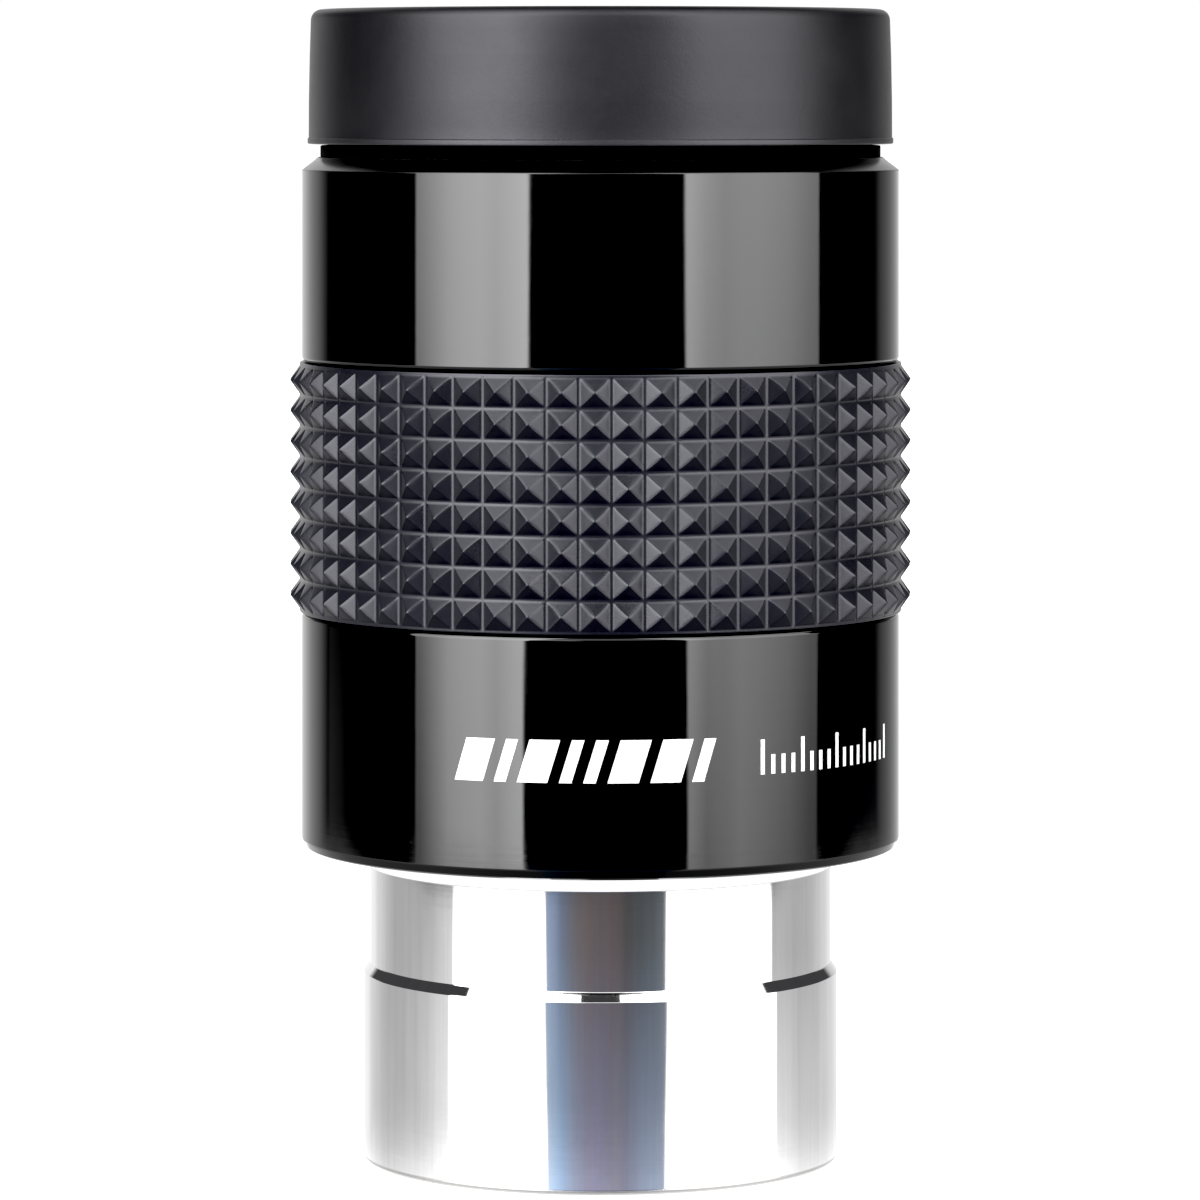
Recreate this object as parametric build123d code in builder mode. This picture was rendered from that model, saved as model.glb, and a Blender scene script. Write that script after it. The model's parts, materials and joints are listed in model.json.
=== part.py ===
from build123d import *

import math
import os

# A 1.25 inch telescope eyepiece of the symmetrical four-element kind.
# Millimetres. The origin is the centre of the nosepiece's open bottom face,
# +Z runs up the optical axis towards the eye. Every piece is turned about Z, so
# each profile is a list of (radius, z) points. In the names, _R is a radius,
# _Z, _LOW and _TOP are heights and _T is a thickness along the axis.

os.makedirs("parts", exist_ok=True)

# ---- sizes shared between pieces -----------------------------------------------
FIT = 0.05               # clearance between pieces that slide or screw together
GAP = 0.02               # clearance between pieces that rest on each other
FACE_GAP = 0.01          # clearance under the eyecup mount's neck and at the spacer

BODY_Z0 = 20.90          # bottom face of the housing
BODY_Z1 = 67.00          # top face of the housing
BODY_THREAD_R = 30.0 / 2     # M30 x 0.75 joint to the nosepiece
BODY_BORE_R = 15.60
BODY_TOP_BORE_R = 17.15  # thread for the eyecup mount
SHOULDER_R = 16.20       # nosepiece shoulder that seats on the housing
SHOULDER_TOP = BODY_Z0 + 0.25    # the shoulder sits in a recess of the housing

GRIP_Z0 = 36.60          # groove in the housing that takes the rubber grip
GRIP_Z1 = 53.30
GRIP_SEAT_R = 19.20

STOP_SEAT_R = 14.10      # counterbore of the nosepiece for the field stop
STOP_SEAT_Z = 18.40

CELL_SEAT_Z = 61.70      # housing shoulder that carries the lens cell
CELL_FLANGE_TOP = CELL_SEAT_Z + 1.20
CELL_NECK_R = 14.60
CELL_TOP = 64.30

NECK_TOP = 67.80         # neck, groove and wall of the eyecup mount
MOUNT_GROOVE_R = 17.00
MOUNT_GROOVE_TOP = 69.30
MOUNT_WALL_R = 17.30
MOUNT_TOP = 75.50

CUP_TOP = 76.90          # top of the folded eyecup, the highest point
CUP_WALL_R = 18.25       # outside of the eyecup's inner wall
SKIRT_INNER_R = 18.40
SKIRT_LOW_R = 19.60      # outside of the skirt at its lower end

RETAIN_OUT_R = 13.25     # ring that holds the lens stack from below
SLOT_WIDTH = 1.00        # spanner slots in the two screwed rings
SLOT_OVERRUN = 1.00      # length of the slot cutter beyond the ring on each side

# ---- optics: two equal cemented doublets, crowns facing each other --------------
# With indices 1.517 (crown) and 1.648 (flint) the focal length is 32.0 mm and the
# focal plane lies 25.8 mm below the field lens, at the knife edge of the field stop.
LENS_R = 13.00
LENS_BEVEL = 0.15
CROWN_FACE_CURVE = 27.93     # radius of curvature of the crown faces at the air gap
CEMENT_CURVE = 38.59         # radius of curvature of the cemented surfaces
FLINT_T = 1.80
CROWN_T = 7.50
AIR_GAP = 0.50
CEMENT_T = 0.01

# heights of the lens surfaces on the axis, from the bottom up
FIELD_FLAT_Z = 44.30
FIELD_CEMENT_Z = FIELD_FLAT_Z + FLINT_T
FIELD_CROWN_Z = FIELD_CEMENT_Z + CROWN_T
EYE_CROWN_Z = FIELD_CROWN_Z + AIR_GAP
EYE_CEMENT_Z = EYE_CROWN_Z + CROWN_T
EYE_FLAT_Z = EYE_CEMENT_Z + FLINT_T
LENS_MIDDLE_Z = FIELD_CROWN_Z + AIR_GAP / 2


# ---- helpers ---------------------------------------------------------------------
LOWEST, HIGHEST = 0, -1
INNERMOST, OUTERMOST = 0, -1


def turned(profile, rounding=None, slot=None):
    """Revolve a closed profile about Z.

    rounding is (level, ring, radius) and rounds one circular edge.
    slot is (z, height) and cuts a spanner slot along X across the whole ring.
    """
    with BuildPart() as ring_builder:
        with BuildSketch(Plane.XZ):
            with BuildLine():
                Polyline(*profile, close=True)
            make_face()
        revolve(axis=Axis.Z)
        if rounding:
            level, ring, radius = rounding
            circles = ring_builder.edges().filter_by(GeomType.CIRCLE)
            edge = circles.group_by(Axis.Z)[level].sort_by(SortBy.RADIUS)[ring]
            fillet(edge, radius=radius)
        if slot:
            slot_z, slot_height = slot
            outer_r = max(radius for radius, z in profile)
            with BuildSketch(Plane.XY.offset(slot_z)):
                Rectangle(2 * (outer_r + SLOT_OVERRUN), SLOT_WIDTH)
            extrude(amount=slot_height, mode=Mode.SUBTRACT)
    return ring_builder.part


def save(name, part):
    """Label a piece and write its STEP file."""
    part.label = name
    export_step(part, f"parts/{name}.step")


def sag(curve, distance):
    """Depth of a sphere of radius curve at a distance from the axis."""
    return curve - math.sqrt(curve * curve - distance * distance)


# ---- nosepiece: push-fit barrel ----------------------------------------------------
NOSE_R = 1.25 * 25.4 / 2
NOSE_EDGE = 0.30         # rounded bottom edge
UNDERCUT_R = 15.45       # safety undercut for the clamp screw
UNDERCUT_LOW = 12.50     # top of the full-diameter section
UNDERCUT_TAPER = 0.60    # height of the taper into the undercut
FLARE_TOP = BODY_Z0 - 0.05
FLARE_HEIGHT = 1.20      # flare from the undercut out to the shoulder
FILTER_MAJOR_R = 28.5 / 2    # M28.5 x 0.6 filter thread
FILTER_MINOR_R = 13.93
FILTER_LEN = 4.20
FILTER_RELIEF_R = FILTER_MAJOR_R + 0.05
FILTER_RELIEF_TOP = FILTER_LEN + 0.70
FILTER_RELIEF_TAPER = 0.25
BAFFLE_R = 13.75         # plain bore above the filter thread
BAFFLE_DEPTH = 0.28      # light-trap grooves in that bore
BAFFLE_PITCH = 1.00
BAFFLE_COUNT = 12
BAFFLE_START = 6.0
BAFFLE_DEEPEST = 0.75    # deepest point and top of a groove, as parts of the pitch
BAFFLE_END = 0.80
SPIGOT_R = BODY_THREAD_R - FIT
SPIGOT_TOP = BODY_Z0 + 4.50
SPIGOT_CHAMFER = 0.35
SPIGOT_RELIEF_R = 14.55  # narrow band between the shoulder and the thread
SPIGOT_RELIEF_TOP = BODY_Z0 + 0.75
SPIGOT_RELIEF_TAPER = 0.30


def baffle_points():
    """Sawtooth grooves of the bore, from the top one down."""
    points = []
    for i in reversed(range(BAFFLE_COUNT)):
        z = BAFFLE_START + i * BAFFLE_PITCH
        points += [
            (BAFFLE_R, z + BAFFLE_PITCH * BAFFLE_END),
            (BAFFLE_R + BAFFLE_DEPTH, z + BAFFLE_PITCH * BAFFLE_DEEPEST),
            (BAFFLE_R, z),
        ]
    return points


nosepiece = turned(
    [
        (FILTER_MAJOR_R, 0),
        (NOSE_R, 0),
        (NOSE_R, UNDERCUT_LOW),
        (UNDERCUT_R, UNDERCUT_LOW + UNDERCUT_TAPER),
        (UNDERCUT_R, FLARE_TOP - FLARE_HEIGHT - 0.05),
        (SHOULDER_R, FLARE_TOP),
        (SHOULDER_R, SHOULDER_TOP),
        (SPIGOT_RELIEF_R, SHOULDER_TOP),
        (SPIGOT_RELIEF_R, SPIGOT_RELIEF_TOP),
        (SPIGOT_R, SPIGOT_RELIEF_TOP + SPIGOT_RELIEF_TAPER),
        (SPIGOT_R, SPIGOT_TOP - SPIGOT_CHAMFER),
        (SPIGOT_R - SPIGOT_CHAMFER, SPIGOT_TOP),
        (STOP_SEAT_R, SPIGOT_TOP),
        (STOP_SEAT_R, STOP_SEAT_Z),
        (BAFFLE_R, STOP_SEAT_Z),
        *baffle_points(),
        (BAFFLE_R, FILTER_RELIEF_TOP),
        (FILTER_RELIEF_R, FILTER_RELIEF_TOP - FILTER_RELIEF_TAPER),
        (FILTER_RELIEF_R, FILTER_LEN),
        (FILTER_MINOR_R, FILTER_LEN),
        (FILTER_MINOR_R, FILTER_MAJOR_R - FILTER_MINOR_R),
    ],
    rounding=(LOWEST, OUTERMOST, NOSE_EDGE),
)
save("nosepiece", nosepiece)

# ---- field stop: a thin ring with a knife edge that bounds the view -----------------
STOP_R = 27.0 / 2        # 27 mm clear field
STOP_OUT_R = STOP_SEAT_R - FIT
STOP_T = 1.60
STOP_Z0 = STOP_SEAT_Z + GAP
STOP_Z1 = STOP_Z0 + STOP_T
STOP_EDGE_TOP = STOP_SEAT_Z + 0.20   # top of the narrow band at the clear field
STOP_FLARE = 0.30        # widening of the hole from there to the top
STOP_SLOT_Z = STOP_SEAT_Z + STOP_T - 0.50
STOP_SLOT_HEIGHT = 1.0   # runs out through the top face

field_stop_ring = turned(
    [
        (STOP_R, STOP_Z0),
        (STOP_OUT_R, STOP_Z0),
        (STOP_OUT_R, STOP_Z1),
        (STOP_R + STOP_FLARE, STOP_Z1),
        (STOP_R, STOP_EDGE_TOP),
    ],
    slot=(STOP_SLOT_Z, STOP_SLOT_HEIGHT),
)
save("field_stop_ring", field_stop_ring)

# ---- housing: one turned tube with a groove for the grip ------------------------------
BODY_R = 20.05
BODY_CHAMFER_LOW = 0.50
BODY_CHAMFER_TOP_R = 1.10    # radial and axial legs of the top chamfer
BODY_CHAMFER_TOP_Z = 1.00
BODY_THREAD_TOP = BODY_Z0 + 5.00
BODY_RECESS_R = SHOULDER_R + FIT
THREAD_CHAMFER = 0.30    # lead-in of both threaded bores

outer_housing = turned([
    (BODY_THREAD_R + THREAD_CHAMFER, SHOULDER_TOP),
    (BODY_RECESS_R, SHOULDER_TOP),
    (BODY_RECESS_R, BODY_Z0),
    (BODY_R - BODY_CHAMFER_LOW, BODY_Z0),
    (BODY_R, BODY_Z0 + BODY_CHAMFER_LOW),
    (BODY_R, GRIP_Z0),
    (GRIP_SEAT_R, GRIP_Z0),
    (GRIP_SEAT_R, GRIP_Z1),
    (BODY_R, GRIP_Z1),
    (BODY_R, BODY_Z1 - BODY_CHAMFER_TOP_Z),
    (BODY_R - BODY_CHAMFER_TOP_R, BODY_Z1),
    (BODY_TOP_BORE_R + THREAD_CHAMFER, BODY_Z1),
    (BODY_TOP_BORE_R, BODY_Z1 - THREAD_CHAMFER),
    (BODY_TOP_BORE_R, CELL_SEAT_Z),
    (BODY_BORE_R, CELL_SEAT_Z),
    (BODY_BORE_R, BODY_THREAD_TOP),
    (BODY_THREAD_R, BODY_THREAD_TOP),
    (BODY_THREAD_R, SHOULDER_TOP + THREAD_CHAMFER),
])
save("outer_housing", outer_housing)

# ---- grip: a rubber band of square pyramids in the housing's groove ---------------------
GRIP_VALLEY_R = 20.20
GRIP_TIP_R = 20.87
GRIP_ROWS = 8
GRIP_COLUMNS = 60
GRIP_TURN = 2.0          # angle of the first groove between columns, from +X
GRIP_PITCH = 2.038
GRIP_TOP_MARGIN = 0.13   # from the top row to the top of the housing's groove
GRIP_ROWS_HEIGHT = GRIP_ROWS * GRIP_PITCH
GRIP_ROW0 = GRIP_Z1 - GRIP_TOP_MARGIN - GRIP_ROWS_HEIGHT     # bottom of the lowest row

# V notch between two columns: its sides meet those of its neighbours at the tip radius
NOTCH_HALF_ANGLE = math.pi / GRIP_COLUMNS
NOTCH_OVERRUN = 0.30
NOTCH_DEPTH = GRIP_TIP_R / math.cos(NOTCH_HALF_ANGLE) + NOTCH_OVERRUN - GRIP_VALLEY_R
NOTCH_SLOPE = math.tan(NOTCH_HALF_ANGLE) * GRIP_TIP_R / (GRIP_TIP_R - GRIP_VALLEY_R)
NOTCH_HALF_WIDTH = NOTCH_DEPTH * NOTCH_SLOPE


def ridge_points():
    """Zigzag of the grip's outside, from the lowest valley up to the highest."""
    points = []
    for i in range(GRIP_ROWS):
        z = GRIP_ROW0 + i * GRIP_PITCH
        points += [(GRIP_VALLEY_R, z), (GRIP_TIP_R, z + GRIP_PITCH / 2)]
    points.append((GRIP_VALLEY_R, GRIP_ROW0 + GRIP_ROWS_HEIGHT))
    return points


with BuildPart() as rubber_grip:
    with BuildSketch(Plane.XZ):
        with BuildLine():
            Polyline(
                (GRIP_SEAT_R + GAP, GRIP_Z0 + GAP),
                (GRIP_VALLEY_R, GRIP_Z0 + GAP),
                *ridge_points(),
                (GRIP_VALLEY_R, GRIP_Z1 - GAP),
                (GRIP_SEAT_R + GAP, GRIP_Z1 - GAP),
                close=True,
            )
        make_face()
    revolve(axis=Axis.Z)
    # V grooves along the axis turn the ridges into pyramids
    with BuildSketch(Plane.XY.offset(GRIP_ROW0)):
        with PolarLocations(GRIP_VALLEY_R, GRIP_COLUMNS, start_angle=GRIP_TURN):
            Polygon(
                (0, 0),
                (NOTCH_DEPTH, -NOTCH_HALF_WIDTH),
                (NOTCH_DEPTH, NOTCH_HALF_WIDTH),
                align=None,
            )
    extrude(amount=GRIP_ROWS_HEIGHT, mode=Mode.SUBTRACT)
save("rubber_grip", rubber_grip.part)

# ---- eyecup mount: screws into the housing, clamps the cell, carries the eyecup ----------
NECK_R = 18.80
MOUNT_SPIGOT_R = BODY_TOP_BORE_R - FIT
MOUNT_BORE_R = CELL_NECK_R + 0.10    # clears the cell's neck
MOUNT_LEDGE_Z = CELL_TOP + 0.04      # underside of the ledge above the cell
MOUNT_CONE_LOW_Z = CELL_TOP + 0.30
MOUNT_CONE_LOW_R = 12.30
MOUNT_CONE_HIGH_R = 15.85

eyecup_mount = turned([
    (MOUNT_BORE_R, CELL_FLANGE_TOP + GAP),
    (MOUNT_SPIGOT_R, CELL_FLANGE_TOP + GAP),
    (MOUNT_SPIGOT_R, BODY_Z1 + FACE_GAP),
    (NECK_R, BODY_Z1 + FACE_GAP),
    (NECK_R, NECK_TOP),
    (MOUNT_GROOVE_R, NECK_TOP),
    (MOUNT_GROOVE_R, MOUNT_GROOVE_TOP),
    (MOUNT_WALL_R, MOUNT_GROOVE_TOP),
    (MOUNT_WALL_R, MOUNT_TOP),
    (MOUNT_CONE_HIGH_R, MOUNT_TOP),
    (MOUNT_CONE_LOW_R, MOUNT_CONE_LOW_Z),
    (MOUNT_CONE_LOW_R, MOUNT_LEDGE_Z),
    (MOUNT_BORE_R, MOUNT_LEDGE_Z),
])
save("eyecup_mount", eyecup_mount)

# ---- eyecup, inner wall and eye-end lip ---------------------------------------------------
CUP_LIP_R = 15.90        # opening at the eye end
CUP_LIP_EDGE = 0.50

eyecup = turned(
    [
        (MOUNT_GROOVE_R + FIT, NECK_TOP + FIT),
        (CUP_WALL_R, NECK_TOP + FIT),
        (CUP_WALL_R, CUP_TOP),
        (CUP_LIP_R, CUP_TOP),
        (CUP_LIP_R, MOUNT_TOP + FIT),
        (MOUNT_WALL_R + FIT, MOUNT_TOP + FIT),
        (MOUNT_WALL_R + FIT, MOUNT_GROOVE_TOP - FIT),
        (MOUNT_GROOVE_R + FIT, MOUNT_GROOVE_TOP - FIT),
    ],
    rounding=(HIGHEST, INNERMOST, CUP_LIP_EDGE),
)
save("eyecup", eyecup)

# ---- eyecup, folded-down skirt --------------------------------------------------------------
SKIRT_TOP_R = 19.42
SKIRT_LOW = 69.15
SKIRT_EDGE = 0.60        # rounding of the fold
FOLD_INNER_T = 0.90      # thickness of the fold beside the inner wall
FOLD_OUTER_T = 1.20      # thickness of the fold at the skirt's inside

eyecup_skirt = turned(
    [
        (SKIRT_INNER_R, SKIRT_LOW),
        (SKIRT_LOW_R, SKIRT_LOW),
        (SKIRT_TOP_R, CUP_TOP),
        (CUP_WALL_R + GAP, CUP_TOP),
        (CUP_WALL_R + GAP, CUP_TOP - FOLD_INNER_T),
        (SKIRT_INNER_R, CUP_TOP - FOLD_OUTER_T),
    ],
    rounding=(HIGHEST, OUTERMOST, SKIRT_EDGE),
)
save("eyecup_skirt", eyecup_skirt)

# ---- eyecup, free rim of the skirt ------------------------------------------------------------
RIM_LOW = 67.90
RIM_TOP = SKIRT_LOW - FIT
RIM_R = 19.70
RIM_EDGE = 0.20

eyecup_rim = turned(
    [
        (SKIRT_INNER_R + 0.05, RIM_LOW),
        (RIM_R, RIM_LOW),
        (SKIRT_LOW_R + 0.02, RIM_TOP),
        (SKIRT_INNER_R + 0.02, RIM_TOP),
    ],
    rounding=(LOWEST, OUTERMOST, RIM_EDGE),
)
save("eyecup_rim", eyecup_rim)

# ---- lens cell: a sleeve that holds the four lenses ---------------------------------------------
CELL_Z0 = 41.90
CELL_OUT_R = 14.50
CELL_LAND_R = BODY_BORE_R - FIT      # raised land that centres the cell in the bore
CELL_LAND_LOW = 45.30
CELL_LAND_TOP = 49.30
CELL_LAND_TAPER = 0.40
CELL_FLANGE_R = 17.05
CELL_CHAMFER = 0.30      # chamfers of the neck's top
CELL_LIP_R = 11.90       # opening above the eye lens
CELL_LIP_TAPER = 0.60
CELL_BORE_R = LENS_R + FIT
CELL_THREAD_R = RETAIN_OUT_R + FIT
CELL_THREAD_TOP = FIELD_FLAT_Z + 0.30

lens_cell = turned([
    (CELL_THREAD_R, CELL_Z0),
    (CELL_OUT_R, CELL_Z0),
    (CELL_OUT_R, CELL_LAND_LOW),
    (CELL_LAND_R, CELL_LAND_LOW + CELL_LAND_TAPER),
    (CELL_LAND_R, CELL_LAND_TOP - CELL_LAND_TAPER),
    (CELL_OUT_R, CELL_LAND_TOP),
    (CELL_OUT_R, CELL_SEAT_Z),
    (CELL_FLANGE_R, CELL_SEAT_Z),
    (CELL_FLANGE_R, CELL_FLANGE_TOP),
    (CELL_NECK_R, CELL_FLANGE_TOP),
    (CELL_NECK_R, CELL_TOP - CELL_CHAMFER),
    (CELL_NECK_R - CELL_CHAMFER, CELL_TOP),
    (CELL_LIP_R + CELL_CHAMFER, CELL_TOP),
    (CELL_LIP_R, CELL_TOP - CELL_LIP_TAPER),
    (CELL_LIP_R, EYE_FLAT_Z + GAP),
    (CELL_BORE_R, EYE_FLAT_Z + GAP),
    (CELL_BORE_R, CELL_THREAD_TOP),
    (CELL_THREAD_R, CELL_THREAD_TOP),
])
save("lens_cell", lens_cell)


# ---- lenses ---------------------------------------------------------------------------------------
# inward is the Z direction from a doublet's flat face to the middle of the stack:
# +1 for the field lens, -1 for the eye lens, which mirrors it.
def surface_points(vertex_z, curve, bend):
    """Points of a lens surface on the axis, half way out and at the rim.

    bend is +1 where the rim lies above the vertex and -1 where it lies below.
    """
    return [
        (distance, vertex_z + bend * sag(curve, distance))
        for distance in (0, LENS_R / 2, LENS_R)
    ]


def flint(flat_z, cement_z, inward):
    """Outer element: flat outside, concave towards the crown."""
    cemented = surface_points(cement_z - inward * CEMENT_T / 2, CEMENT_CURVE, inward)
    with BuildPart() as lens:
        with BuildSketch(Plane.XZ):
            with BuildLine():
                Polyline(
                    cemented[0],
                    (0, flat_z),
                    (LENS_R - LENS_BEVEL, flat_z),
                    (LENS_R, flat_z + inward * LENS_BEVEL),
                    cemented[-1],
                )
                ThreePointArc(*reversed(cemented))
            make_face()
        revolve(axis=Axis.Z)
    return lens.part


def crown(cement_z, face_z, inward):
    """Inner element: convex on both sides."""
    cemented = surface_points(cement_z + inward * CEMENT_T / 2, CEMENT_CURVE, inward)
    face = surface_points(face_z, CROWN_FACE_CURVE, -inward)
    with BuildPart() as lens:
        with BuildSketch(Plane.XZ):
            with BuildLine():
                Line(face[0], cemented[0])
                ThreePointArc(*cemented)
                Line(cemented[-1], face[-1])
                ThreePointArc(*reversed(face))
            make_face()
        revolve(axis=Axis.Z)
    return lens.part


save("field_lens_flint", flint(FIELD_FLAT_Z, FIELD_CEMENT_Z, inward=1))
save("field_lens_crown", crown(FIELD_CEMENT_Z, FIELD_CROWN_Z, inward=1))
save("eye_lens_crown", crown(EYE_CEMENT_Z, EYE_CROWN_Z, inward=-1))
save("eye_lens_flint", flint(EYE_FLAT_Z, EYE_CEMENT_Z, inward=-1))

# ---- spacer ring between the two doublets -----------------------------------------------------------
SPACER_IN_R = 12.20
# the crown faces all but touch the spacer's inner edges
SPACER_HALF = AIR_GAP / 2 + sag(CROWN_FACE_CURVE, SPACER_IN_R) - FACE_GAP

lens_spacer = turned([
    (SPACER_IN_R, LENS_MIDDLE_Z - SPACER_HALF),
    (LENS_R, LENS_MIDDLE_Z - SPACER_HALF),
    (LENS_R, LENS_MIDDLE_Z + SPACER_HALF),
    (SPACER_IN_R, LENS_MIDDLE_Z + SPACER_HALF),
])
save("lens_spacer", lens_spacer)

# ---- retaining ring: holds the stack in the cell from below -------------------------------------------
RETAIN_IN_R = 12.20
RETAIN_Z0 = 42.50
RETAIN_Z1 = FIELD_FLAT_Z - GAP
RETAIN_BEVEL_R = 0.40    # radial and axial legs of the bevel at the lower inside edge
RETAIN_BEVEL_Z = 0.60
RETAIN_SLOT_DEPTH = 0.70

lens_retaining_ring = turned(
    [
        (RETAIN_IN_R + RETAIN_BEVEL_R, RETAIN_Z0),
        (RETAIN_OUT_R, RETAIN_Z0),
        (RETAIN_OUT_R, RETAIN_Z1),
        (RETAIN_IN_R, RETAIN_Z1),
        (RETAIN_IN_R, RETAIN_Z0 + RETAIN_BEVEL_Z),
    ],
    slot=(RETAIN_Z0, RETAIN_SLOT_DEPTH),
)
save("lens_retaining_ring", lens_retaining_ring)
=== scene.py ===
import json
import math

import bmesh
import bpy
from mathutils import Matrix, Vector

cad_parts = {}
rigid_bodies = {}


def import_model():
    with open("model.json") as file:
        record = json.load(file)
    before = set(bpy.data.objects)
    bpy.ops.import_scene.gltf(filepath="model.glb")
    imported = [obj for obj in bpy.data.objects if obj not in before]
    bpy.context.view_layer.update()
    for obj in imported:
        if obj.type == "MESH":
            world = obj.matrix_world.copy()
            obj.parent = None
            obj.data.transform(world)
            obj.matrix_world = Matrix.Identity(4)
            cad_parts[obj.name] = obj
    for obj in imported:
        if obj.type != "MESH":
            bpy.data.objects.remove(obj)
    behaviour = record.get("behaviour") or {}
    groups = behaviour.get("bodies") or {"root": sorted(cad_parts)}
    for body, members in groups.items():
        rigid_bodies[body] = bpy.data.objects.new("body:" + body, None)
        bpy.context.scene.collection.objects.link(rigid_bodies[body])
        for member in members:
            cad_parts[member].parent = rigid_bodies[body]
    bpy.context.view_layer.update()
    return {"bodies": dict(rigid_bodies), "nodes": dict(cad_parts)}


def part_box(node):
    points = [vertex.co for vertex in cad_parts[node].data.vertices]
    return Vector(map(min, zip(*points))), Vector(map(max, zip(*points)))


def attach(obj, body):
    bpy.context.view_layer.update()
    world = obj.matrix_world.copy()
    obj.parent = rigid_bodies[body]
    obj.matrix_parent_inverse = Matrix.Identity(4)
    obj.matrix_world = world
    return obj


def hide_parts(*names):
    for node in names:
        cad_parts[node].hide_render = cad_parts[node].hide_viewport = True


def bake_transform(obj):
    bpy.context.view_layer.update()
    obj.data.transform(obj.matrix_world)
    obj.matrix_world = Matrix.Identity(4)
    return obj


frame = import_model()
MM = 0.001
SEGS = 288

scene = bpy.context.scene
scene.view_settings.view_transform = "Standard"
scene.view_settings.look = "None"
scene.view_settings.exposure = 0.0
scene.view_settings.gamma = 1.0
scene.view_settings.use_curve_mapping = True
scene.view_settings.curve_mapping.black_level = (0.010, 0.010, 0.010)
scene.view_settings.curve_mapping.update()


def low(node):
    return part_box(node)[0].z / MM


def high(node):
    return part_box(node)[1].z / MM


# the heights every piece is built from, in mm
H0, H1 = low("outer_housing"), high("outer_housing")
G0, G1 = low("rubber_grip"), high("rubber_grip")
N0, N1 = low("nosepiece"), high("nosepiece")
M0, M1 = low("eyecup_mount"), high("eyecup_mount")
CUP0, CUP1 = low("eyecup"), high("eyecup")
RIM0, RIM1 = low("eyecup_rim"), high("eyecup_rim")
CELL0, CELL1 = low("lens_cell"), high("lens_cell")
FIELD0, EYE1 = low("field_lens_flint"), high("eye_lens_flint")
SEAT = H0 + 40.50   # shoulder in the housing that carries the lens cell
STOP_SEAT = low("field_stop_ring") - 0.02   # shoulder in the nosepiece that carries the field stop


# --------------------------------------------------------------------------
# profiles: a list of segments (p0, p1, n0, n1, material index), in mm
# --------------------------------------------------------------------------
def unit(x, y):
    d = math.hypot(x, y)
    return (x / d, y / d)


def rounded(points, steps=4, closed=True, mats=None):
    """Segments of a polygon given as (r, z) or (r, z, corner radius), walked so that the solid is on the left."""
    pts = [(p[0], p[1], p[2] if len(p) > 2 else 0.0) for p in points]
    n = len(pts)
    corners = []
    for i, (r, z, rad) in enumerate(pts):
        if not closed and i in (0, n - 1):
            corners.append([((r, z), None)])
            continue
        a, b = pts[i - 1], pts[(i + 1) % n]
        d0, d1 = unit(r - a[0], z - a[1]), unit(b[0] - r, b[1] - z)
        cross = d0[0] * d1[1] - d0[1] * d1[0]
        dot = max(-1.0, min(1.0, d0[0] * d1[0] + d0[1] * d1[1]))
        turn = math.atan2(abs(cross), dot)
        if rad <= 0 or turn < 1e-3:
            corners.append([((r, z), None)])
            continue
        t = rad * math.tan(turn / 2)
        room = 0.49 * min(math.hypot(r - a[0], z - a[1]), math.hypot(b[0] - r, b[1] - z))
        if t > room:
            rad *= room / t
            t = room
        side = 1.0 if cross > 0 else -1.0
        n0 = (d0[1], -d0[0])
        c = (r - d0[0] * t - n0[0] * rad * side, z - d0[1] * t - n0[1] * rad * side)
        arc = []
        k = max(2, int(math.ceil(steps * turn / (math.pi / 2))) + 1)
        for j in range(k + 1):
            ang = side * turn * j / k
            nn = (n0[0] * math.cos(ang) - n0[1] * math.sin(ang), n0[0] * math.sin(ang) + n0[1] * math.cos(ang))
            arc.append(((c[0] + nn[0] * rad * side, c[1] + nn[1] * rad * side), nn))
        corners.append(arc)
    segs = []
    count = n if closed else n - 1
    for i in range(n):
        arc = corners[i]
        m = 0 if mats is None else mats[i]
        for (p0, n0), (p1, n1) in zip(arc, arc[1:]):
            segs.append((p0, p1, n0, n1, m))
        if i < count:
            p0, p1 = arc[-1][0], corners[(i + 1) % n][0][0]
            if math.hypot(p1[0] - p0[0], p1[1] - p0[1]) > 1e-7:
                d = unit(p1[0] - p0[0], p1[1] - p0[1])
                segs.append((p0, p1, (d[1], -d[0]), (d[1], -d[0]), m))
    return segs


def curve(fn, nfn, a, b, steps, mat=0):
    out = []
    for i in range(steps):
        u, v = a + (b - a) * i / steps, a + (b - a) * (i + 1) / steps
        out.append((fn(u), fn(v), nfn(u), nfn(v), mat))
    return out


def link(mesh, name):
    o = bpy.data.objects.new(name, mesh)
    scene.collection.objects.link(o)
    return o


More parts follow.
